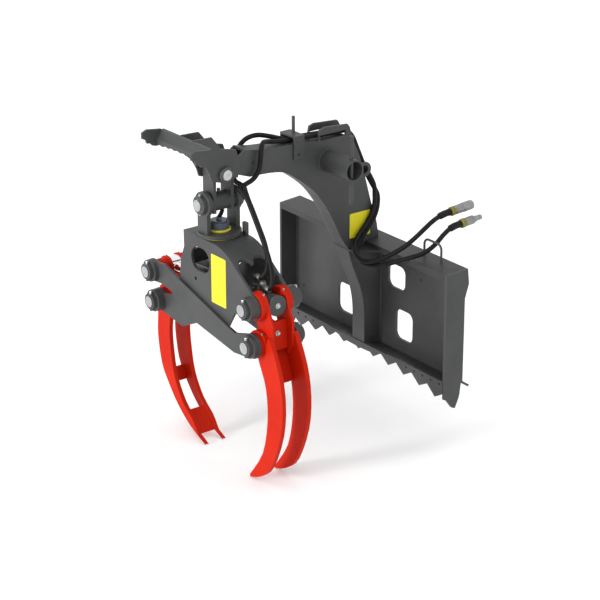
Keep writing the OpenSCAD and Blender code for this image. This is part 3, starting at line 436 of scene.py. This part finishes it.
def couplerPiece(name, route, kind):
    # the quick coupler at a tail's free end: olive collar, ribbed body with a socket or a plug nose,
    # and the sleeve that holds the hose
    c, own, r = couplers, couplers[kind], couplers["radius"]
    base = np.array(route[0])
    axis = unitRows(base - np.array(route[1]))
    length, edge = own["length"], c["collarEdge"]
    neck, mouth = ([(h * length, q * r) for h, q in profile] for profile in (c["neck"], own["mouth"]))
    start, end, share = own["ribs"]
    body = neck + ribbed(start * length, end * length, share * r) + mouth
    top = c["collar"] * length
    heights = (0.0, edge, 2 * edge, top - edge, top)
    collar = [(0.0, 0.0), *((h, q * r) for h, q in zip(heights, c["collarWidths"])), (top, 0.0)]
    path = evenPath(smoothPath(route), c["sleeveStep"])
    reach = reachAlong(path)
    near = reach <= c["sleeveLength"]
    at, swell = np.array(c["sleeve"]).T
    radius = np.interp(reach[near], at * c["sleeveLength"], swell * c["sleeveRadius"])
    piece = makePiece(name, {"zinc": [turned(body, base, axis, c["sides"])],
                             "olive": [turned(collar, base, axis, c["sides"])],
                             "hose": [hoseAlong(path[near], radius, c["sleeveSides"])]}, "mount_frame")
    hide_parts("couplers")
    return piece


# Metres. The tails' routes are those of the part's source, from the coupler to the guide on the boom.
# Each of the two fixed hoses has one list for each of its runs, which starts where the last one ends.
hoses = {
    "supply": 0.020,        # diameter of the supply hoses and their tails
    "service": 0.020,       # diameter of the two hoses on to the cylinder
    "step": 0.006,          # between two rings of a hose
    "tailUpper": [[0.350, 0.098, 0.461], [0.350, 0.068, 0.459], [0.348, 0.035, 0.451], [0.343, 0.003, 0.434],
                  [0.334, -0.028, 0.408], [0.320, -0.060, 0.376], [0.300, -0.094, 0.342],
                  [0.273, -0.128, 0.311], [0.241, -0.161, 0.284], [0.206, -0.190, 0.265],
                  [0.172, -0.208, 0.257], [0.135, -0.215, 0.261], [0.100, -0.208, 0.277],
                  [0.076, -0.190, 0.299], [0.065, -0.164, 0.324], [0.060, -0.136, 0.348],
                  [0.057, -0.108, 0.374], [0.056, -0.084, 0.406], [0.053, -0.066, 0.446],
                  [0.047, -0.060, 0.484], [0.034, -0.056, 0.530], [0.029, -0.092, 0.600]],
    "tailLower": [[0.400, 0.113, 0.419], [0.400, 0.083, 0.417], [0.399, 0.054, 0.409], [0.395, 0.023, 0.388],
                  [0.387, -0.008, 0.355], [0.376, -0.040, 0.330], [0.361, -0.070, 0.313],
                  [0.341, -0.099, 0.302], [0.315, -0.127, 0.289], [0.282, -0.150, 0.272],
                  [0.245, -0.167, 0.256], [0.206, -0.181, 0.243], [0.168, -0.192, 0.238],
                  [0.131, -0.199, 0.243], [0.098, -0.193, 0.258], [0.075, -0.176, 0.281],
                  [0.063, -0.149, 0.306], [0.058, -0.121, 0.330], [0.055, -0.093, 0.356],
                  [0.054, -0.066, 0.391], [0.049, -0.046, 0.434], [0.034, -0.035, 0.480],
                  [0.012, -0.052, 0.530], [0.006, -0.088, 0.600]],
    "boom": [[[0.029, -0.092, 0.600], [0.025, -0.110, 0.635], [0.018, -0.135, 0.700], [0.013, -0.157, 0.754],
              [0.012, -0.190, 0.784], [0.012, -0.230, 0.788], [0.012, -0.320, 0.792], [0.012, -0.430, 0.799],
              [0.012, -0.500, 0.803], [0.015, -0.560, 0.810], [0.025, -0.608, 0.822], [0.044, -0.640, 0.827],
              [0.060, -0.660, 0.810], [0.064, -0.667, 0.770], [0.062, -0.674, 0.725]],
             [[0.006, -0.088, 0.600], [0.003, -0.106, 0.635], [-0.004, -0.135, 0.700],
              [-0.010, -0.157, 0.754], [-0.012, -0.190, 0.784], [-0.012, -0.230, 0.788],
              [-0.012, -0.320, 0.792], [-0.012, -0.430, 0.799], [-0.012, -0.500, 0.804],
              [-0.018, -0.555, 0.822], [-0.030, -0.612, 0.836], [-0.046, -0.655, 0.826],
              [-0.057, -0.684, 0.796], [-0.061, -0.700, 0.755]]],
    "nose": [[[0.062, -0.674, 0.725], [0.062, -0.700, 0.694], [0.064, -0.740, 0.680], [0.068, -0.776, 0.673],
              [0.092, -0.777, 0.658], [0.122, -0.775, 0.637]],
             [[-0.061, -0.700, 0.755], [-0.058, -0.712, 0.716], [-0.040, -0.730, 0.688],
              [0.0, -0.746, 0.676], [0.040, -0.752, 0.676], [0.076, -0.758, 0.674], [0.092, -0.761, 0.656],
              [0.108, -0.761, 0.631]]],
    "yoke": [[[0.122, -0.775, 0.637], [0.145, -0.775, 0.608], [0.171, -0.777, 0.577]],
             [[0.108, -0.761, 0.631], [0.131, -0.761, 0.602], [0.157, -0.763, 0.571]]],
    "head": [[[0.171, -0.777, 0.577], [0.206, -0.782, 0.540], [0.240, -0.787, 0.504], [0.272, -0.793, 0.470],
              [0.304, -0.800, 0.431], [0.327, -0.808, 0.396], [0.339, -0.816, 0.368], [0.342, -0.823, 0.348],
              [0.336, -0.828, 0.337], [0.324, -0.829, 0.334]],
             [[0.157, -0.763, 0.571], [0.192, -0.768, 0.534], [0.226, -0.773, 0.498], [0.254, -0.780, 0.464],
              [0.276, -0.790, 0.430], [0.288, -0.802, 0.402], [0.288, -0.815, 0.381],
              [0.279, -0.825, 0.368], [0.264, -0.829, 0.364]]],
}


def tailCords():
    # each free tail is a tube along its route, from the guide to the coupler on its end
    for side, cadNode, kind in (("Upper", "hose_tail_upper", "socket"), ("Lower", "hose_tail_lower", "plug")):
        route = hoses["tail" + side]
        coupler = couplerPiece("coupler" + side, route, kind)
        path = evenPath(smoothPath(route[::-1]), hoses["step"])
        piece = makePiece("hoseTail" + side, {"hose": [hoseAlong(path, hoses["supply"] / 2)]}, "mount_frame")
        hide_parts(cadNode)


tailCords()

# the runs of the fixed hoses over the nose, cross and swivel pivots, from body to body, between two places;
# only the keys are read, and these runs are left unattached to any body
hoseBends = {
    "nose": ("mount_frame", "crosshead", (0, -0.690, 0.720), (0, -0.728, 0.690)),
    "yoke": ("crosshead", "swivel", (0.115, -0.768, 0.634), (0.164, -0.770, 0.577)),
    "head": ("swivel", "head", (0.171, -0.770, 0.575), (0.290, -0.829, 0.375)),
}


def runHoses():
    # each of the two hoses is one smooth path, cut into its runs where their lists end
    keys = ["boom", "nose", "yoke", "head"]
    runs = {key: [] for key in keys}
    for k in (0, 1):
        points = hoses["boom"][k][:1] + [point for key in keys for point in hoses[key][k][1:]]
        path = smoothPath(points)
        first = 0
        for key in keys:
            last = first + meshing["pointsPerSpan"] * (len(hoses[key][k]) - 1)
            runs[key].append(evenPath(path[first:last + 1], hoses["step"]))
            first = last
    for key in keys:
        radius = hoses["supply" if key == "boom" else "service"] / 2
        piece = makePiece(key + "Hoses", {"hose": [hoseAlong(path, radius) for path in runs[key]]})
        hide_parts(key + "_hoses")
        if key in hoseBends:
            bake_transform(piece)
        else:
            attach(piece, "mount_frame")


runHoses()
print("hoses laid")

# where the hanger's middle, its pins and the foot of the rotator's cap lie
hanger = {"y": -0.829, "nosePin": 0.735, "crossPin": 0.612, "capBase": 0.490}
pins = {                    # the four claw and link pins, across and up
    "head": [(-0.3180, 0.1050), (0.338, 0.280)],
    "left_claw": [(-0.3400, 0.2320)],
    "right_claw": [(0.356, 0.126)],
}
hexagon = 6                 # sides of a bolt's head and of a nut
# a head's shoulder and crown and a washer's crown are shares of the height and the radius
boltShape = {"shoulder": 0.8, "crown": 0.84, "sink": 0.001, "washerEdge": 0.0008, "washerTop": 0.0012,
             "washerCrown": 0.95, "washerSides": 28}


def boltHead(at, axis, radius, height, washer):
    # a hexagon head with a chamfered crown, on a round washer that sinks a little into its seat
    at, b = np.asarray(at, float), boltShape
    foot = at + unitRows(np.asarray(axis, float)) * b["washerTop"]
    head = [(0.0, 0.0), (0.0, radius), (height * b["shoulder"], radius), (height, radius * b["crown"]),
            (height, 0.0)]
    disc = [(-b["sink"], 0.0), (-b["sink"], washer), (b["washerEdge"], washer),
            (b["washerTop"], washer * b["washerCrown"]), (b["washerTop"], 0.0)]
    return [turned(head, foot, axis, hexagon), turned(disc, at, axis, b["washerSides"])]


# the collars on the claw and link pins; a bolt is its radius, height and washer's radius
collars = {"from": 0.120, "thick": 0.018, "radius": 0.034, "sink": 0.0002,
           "bolt": (0.0072, 0.0095, 0.0078), "nut": (0.0072, 0.0075, 0.0078)}


def collarBolts():
    # each collar has one bolt through it, its head above and its nut below
    c = collars
    for body, places in pins.items():
        shapes = {"bolt": [], "frame": []}
        for x, z in places:
            for side in (-1, 1):
                y = hanger["y"] + side * (c["from"] + c["thick"] / 2)
                shapes["bolt"] += boltHead((x, y, z + c["radius"] - c["sink"]), (0, 0, 1), *c["bolt"])
                shapes["frame"] += boltHead((x, y, z - c["radius"] + c["sink"]), (0, 0, -1), *c["nut"])
        makePiece(body.split("_")[0] + "CollarBolts", shapes, body)


collarBolts()

# rings round the hanger's pins: how far out each starts, its thickness, radius and bore
pivotRings = {
    "collar": (0.0812, 0.0185, 0.0385, 0.02405), "eye": (0.0628, 0.0180, 0.0520, 0.0241),
    "nose": (0.0482, 0.0125, 0.0305, 0.02105), "edge": 0.0015, "sides": 48,
    "boltOut": 0.0905, "boltUp": 0.0383, "bolt": (0.006, 0.005, 0.0066),
}


def pivotRing(key, origin, axis):
    # one ring with both edges of its outer end taken off
    start, thick, radius, bore = pivotRings[key]
    end, b = start + thick, pivotRings["edge"]
    return turnedLoop([(start, bore), (start, radius), (end - b, radius), (end, radius - b), (end, bore + b),
                       (end - b, bore)], origin, axis, pivotRings["sides"])


def pivotCollars():
    # at each end the cross pin has a collar with two bolts and an eye's ring, and the nose pin a ring
    y, z = hanger["y"], hanger["crossPin"]
    shapes = {"frame": [], "bolt": []}
    for side in (-1, 1):
        shapes["frame"] += [pivotRing(key, (0, y, z), (0, side, 0)) for key in ("collar", "eye")]
        for up in (-1, 1):
            at = (0, y + side * pivotRings["boltOut"], z + up * pivotRings["boltUp"])
            shapes["bolt"] += boltHead(at, (0, 0, up), *pivotRings["bolt"])
    makePiece("crossPinCollars", shapes, "swivel")
    rings = [pivotRing("nose", (0, y, hanger["nosePin"]), (side, 0, 0)) for side in (-1, 1)]
    makePiece("nosePinCollars", {"frame": rings}, "mount_frame")


pivotCollars()

# heights from the cap's foot, radii and places from the rotator's axis
rotator = {
    "band": [(0.0002, 0.0452), (0.0002, 0.0478), (0.0022, 0.0486), (0.0072, 0.0486), (0.0092, 0.0474),
             (0.0092, 0.0424), (0.0064, 0.0424)], "bandSides": 72,
    "bolts": 6, "boltRing": 0.0375, "boltHeight": 0.0362, "bolt": (0.0032, 0.0028, 0.004),
    "nut": [(0, 0), (0, 0.0125), (0.006, 0.0125), (0.008, 0.011), (0.012, 0.011), (0.012, 0)],
    "nutHeight": 0.0418,
    "stub": [(0.0, 0.0, 0.040), (0.001, 0.0, 0.052), (0.008, 0.004, 0.066), (0.014, 0.008, 0.086)],
    "stubRadius": 0.0085, "stubStep": 0.003,
}


def rotatorDress():
    # yellow band and bolts on the rotator's cap, and the short hose into its crown
    r, y, z = rotator, hanger["y"], hanger["capBase"]
    band = turnedLoop(r["band"], (0, y, z), (0, 0, 1), r["bandSides"])
    bolts = []
    for k in range(r["bolts"]):
        t = 2 * math.pi * (k + 0.5) / r["bolts"]
        at = (r["boltRing"] * math.cos(t), y + r["boltRing"] * math.sin(t), z + r["boltHeight"])
        bolts += boltHead(at, (0, 0, 1), *r["bolt"])
    nut = turned(r["nut"], (0, y, z + r["nutHeight"]), (0, 0, 1), hexagon)
    stub = hoseAlong(evenPath(smoothPath(np.array(r["stub"]) + (0, y, z)), r["stubStep"]), r["stubRadius"])
    makePiece("rotatorDress", {"ring": [band], "cap": bolts + [nut], "hose": [stub]}, "swivel")


rotatorDress()
print("hanger dressed")

# Profiles are (height, radius). The pipe's points are along the barrel, up from it and to the front,
# the near ones from the riser's foot and the far ones from the barrel's axis at the far port.
cylinder = {
    "headPin": pins["head"][1], "footPin": pins["left_claw"][0],
    "base": 0.047, "barrel": 0.560, "sides": 64,
    "cap": [(-0.001, 0.0), (-0.001, 0.0422), (0.007, 0.0425), (0.0105, 0.0405), (0.0105, 0.0)],
    "capSink": 0.0005, "capBoltOut": 0.0098, "capBolt": (0.0085, 0.006, 0.0115),
    "spanner": [(0.0, 0.0215), (0.0, 0.0383), (0.0095, 0.0383), (0.0112, 0.0366), (0.0112, 0.0215)],
    "spannerGap": 0.0008,
    "ports": (0.038, 0.522), "portTop": 0.066,
    "adapter": [(-0.003, 0.0), (-0.003, 0.0142), (0.008, 0.0142), (0.010, 0.0125), (0.016, 0.0125),
                (0.016, 0.0)],
    "hoseEnds": ((0.2480, 0.364), (0.3085, 0.334)), "fittingSides": 28,
    "sleeve": [(0.0, 0.0), (0.0, 0.012), (0.002, 0.0133), (0.026, 0.0133), (0.030, 0.0118), (0.030, 0.0)],
    "riserX": 0.2545, "riserFoot": 0.314, "riserOut": 0.0385,
    "riser": [(0, 0), (0, 0.0085), (0.040, 0.0085), (0.050, 0.011), (0.062, 0.011), (0.062, 0)],
    "riserNut": [(0, 0), (0, 0.014), (0.022, 0.014), (0.024, 0.012), (0.024, 0)],
    "pipeNear": [(0.0, 0.008, 0.008), (0.012, -0.004, 0.030), (0.04, -0.005, 0.034)],
    "pipeFar": [(-0.06, 0.0335, 0.034), (-0.02, 0.0345, 0.033), (0.0, 0.046, 0.024), (0.0, 0.052, 0.010)],
    "pipeRadius": 0.0065, "pipeStep": 0.006, "pipeSides": 16,
}


def cylinderDress():
    # end cap with its bolt, port adapters, the pipe along the barrel and the gland's spanner ring
    c, y = cylinder, hanger["y"]
    head, foot = (np.array([x, y, z]) for x, z in (c["headPin"], c["footPin"]))
    along = unitRows(foot - head)
    up = np.array([along[2], 0, -along[0]])
    axes = np.stack([along, up, (0.0, -1.0, 0.0)])
    near = head + along * (c["riserX"] - head[0]) / along[0] + up * c["riserOut"]
    far = head + along * c["ports"][1]
    pipe = np.concatenate([near + np.array(c["pipeNear"]) @ axes, far + np.array(c["pipeFar"]) @ axes])
    capFoot = head - along * (c["base"] - c["capSink"])
    seats = [head + along * reach + up * c["portTop"] for reach in c["ports"]]
    zinc = [turned(c["adapter"], seat, up, hexagon) for seat in seats]
    zinc += [turned(c["sleeve"], (x, y, z), (1, 0, 0), c["fittingSides"]) for x, z in c["hoseEnds"]]
    zinc += [turned(c["riserNut"], near, up, hexagon)]
    dark = [turned(c["cap"], capFoot, -along, c["sides"]),
            turned(c["riser"], (c["riserX"], y, c["riserFoot"]), (0, 0, 1), c["fittingSides"]),
            hoseAlong(evenPath(smoothPath(pipe), c["pipeStep"]), c["pipeRadius"], c["pipeSides"]),
            turnedLoop(c["spanner"], head + along * (c["barrel"] + c["spannerGap"]), along, c["sides"])]
    bolt = boltHead(head - along * (c["base"] + c["capBoltOut"]), -along, *c["capBolt"])
    makePiece("cylinderDress", {"frame": dark, "bolt": bolt, "zinc": zinc}, "barrel")


cylinderDress()

# a nipple on a claw's ear: its pin, how far out it lies, how far from the pin, degrees up, and its size
clawFittings = {
    "webBolt": (0.3938, 0.168), "webAxis": (0.993, 0, 0.083), "webSize": (0.0085, 0.006, 0.0115),
    "right": [(pins["head"][1], 0.048, 0.0598, 62, (0.004, 0.005, 0.0048)),
              (pins["right_claw"][0], 0.0705, 0.0578, 62, (0.004, 0.005, 0.0048))],
    "left": [(pins["left_claw"][0], 0.030, 0.0458, 100, (0.004, 0.005, 0.0046))],
}


def earNipples(rows):
    # the same nipples on both sides of the hanger's middle
    shapes = []
    for side in (-1, 1):
        for (x, z), out, reach, angle, size in rows:
            d = np.array([math.cos(math.radians(angle)), 0, math.sin(math.radians(angle))])
            shapes += boltHead(np.array([x, hanger["y"] + side * out, z]) + d * reach, d, *size)
    return shapes


def clawBolts():
    # the bolt in the right claw's web and the nipples on both claws' ears
    x, z = clawFittings["webBolt"]
    web = boltHead((x, hanger["y"], z), clawFittings["webAxis"], *clawFittings["webSize"])
    makePiece("rightClawBolts", {"bolt": web + earNipples(clawFittings["right"])}, "right_claw")
    makePiece("leftClawBolts", {"bolt": earNipples(clawFittings["left"])}, "left_claw")


clawBolts()

# small upright plates: width, height and corner radius, the middle of the back and the way across
plates = {
    "headTab": {"box": (0.028, 0.062, 0.004), "middle": (0.0690, -0.7420, 0.4920), "across": (1, 0, 0),
                "thick": 0.0120, "bevel": 0.0012, "finish": "frame", "body": "head"},
    "boomPatch": {"box": (0.111, 0.110, 0.006), "middle": (0.0400, -0.1325, 0.368), "across": (0, 1, 0),
                  "thick": 0.0007, "bevel": 0.0002, "finish": "patch", "body": "mount_frame"},
    "headPatch": {"box": (0.100, 0.208, 0.005), "middle": (0.116, -0.9160, 0.322), "across": (1, 0, 0),
                  "thick": 0.0007, "bevel": 0.0002, "finish": "patch", "body": "head"},
}


def addPlate(name):
    # a tab or a bare yellow patch, raised from its back
    p = plates[name]
    shape = slab(roundedBox(*p["box"]), p["middle"], p["across"], (0, 0, 1), p["thick"], p["bevel"])
    makePiece(name, {p["finish"]: [shape]}, p["body"])


# dark plugs in the boom, in the hose strap and in the back panel: each one's place and axis
plugs = {
    "profile": [(-0.0005, 0.0), (-0.0005, 0.0062), (0.0004, 0.0062), (0.0008, 0.0056), (0.0008, 0.0)],
    "sides": 28,
    "places": [((0.0402, -0.687, 0.752), (1, 0, 0)), ((0.0482, -0.462, 0.742), (1, 0, 0)),
               ((0.301, -0.0122, 0.166), (0, -1, 0)), ((-0.505, -0.0122, -0.113), (0, -1, 0))],
}


def framePlugs():
    # dark plugs, each on the face that its axis leaves
    shapes = [turned(plugs["profile"], at, axis, plugs["sides"]) for at, axis in plugs["places"]]
    makePiece("framePlugs", {"bore": shapes}, "mount_frame")


addPlate("headTab")
framePlugs()
addPlate("boomPatch")
addPlate("headPatch")

# an upright bead has how far out it stands, its lower and upper end and its radius
welds = {
    "uprights": [(0.0410, -0.196, 0.262, 0.0038), (0.5540, -0.196, 0.268, 0.0036)], "y": -0.0130,
    "ringX": 0.0405, "ringY": -0.3051, "ringZ": 0.6850, "ringRadius": 0.0470, "ringPoints": 121,
    "ringBead": 0.0034, "step": 0.0022, "sides": 8, "low": 0.9, "ripple": 0.16, "turn": 1.1,
}


def bead(path, radius):
    # a rippled bead: r(i) = radius (low + ripple |sin(turn i)|) at the path's point i
    wave = np.abs(np.sin(np.arange(len(path)) * welds["turn"]))
    return hoseAlong(path, radius * (welds["low"] + welds["ripple"] * wave), welds["sides"])


def frameWelds():
    # beads up the post's and the side plates' edges, and one round the boom's cross tube
    shapes = []
    for side in (-1, 1):
        for out, bottom, top, radius in welds["uprights"]:
            ends = np.array([(side * out, welds["y"], bottom), (side * out, welds["y"], top)])
            shapes.append(bead(evenPath(ends, welds["step"]), radius))
    t = np.linspace(0, 2 * np.pi, welds["ringPoints"])
    ring = np.stack([np.full(len(t), welds["ringX"]), welds["ringY"] + welds["ringRadius"] * np.cos(t),
                     welds["ringZ"] + welds["ringRadius"] * np.sin(t)], -1)
    shapes.append(bead(ring, welds["ringBead"]))
    makePiece("frameWelds", {"frame": shapes}, "mount_frame")


frameWelds()
print("details placed")

studio = {"world": 1.1, "sun": 2.2, "from": (-0.10, -0.93, 0.24), "softness": 14,
          "floor": -0.4815, "size": 60.0, "grain": (3.0, 3.0), "grainEnds": (0.4, 0.6),
          "dark": (0.97, 0.97, 0.97), "light": (0.985, 0.985, 0.985), "roughness": 0.9}


def lightStudio():
    # an even white world and one soft, low sun from the front
    world = bpy.data.worlds.new("studio")
    bpy.context.scene.world = world
    world.use_nodes = True
    background = world.node_tree.nodes["Background"]
    background.inputs["Color"].default_value = (1, 1, 1, 1)
    background.inputs["Strength"].default_value = studio["world"]
    lamp = bpy.data.lights.new("key", "SUN")
    lamp.energy, lamp.angle = studio["sun"], math.radians(studio["softness"])
    key = bpy.data.objects.new("key", lamp)
    key.rotation_euler = Vector(studio["from"]).to_track_quat("Z", "Y").to_euler()
    bpy.context.scene.collection.objects.link(key)
    bpy.context.scene.view_settings.view_transform = "Standard"


def layFloor():
    # a wide sheet of white paper under the part
    m, tree, shader = newMaterial("floorPaper")
    colour = ramp(tree, noise(tree, *studio["grain"]), studio["grainEnds"], studio["dark"], studio["light"])
    tree.links.new(colour, shader.inputs["Base Color"])
    shader.inputs["Roughness"].default_value = studio["roughness"]
    h, z = studio["size"] / 2, studio["floor"]
    mesh = bpy.data.meshes.new("floor")
    mesh.from_pydata([(-h, -h, z), (h, -h, z), (h, h, z), (-h, h, z)], [], [(0, 1, 2, 3)])
    mesh.materials.append(m)
    floor = bpy.data.objects.new("floor", mesh)
    bpy.context.scene.collection.objects.link(floor)


lightStudio()
layFloor()
print("studio lit")
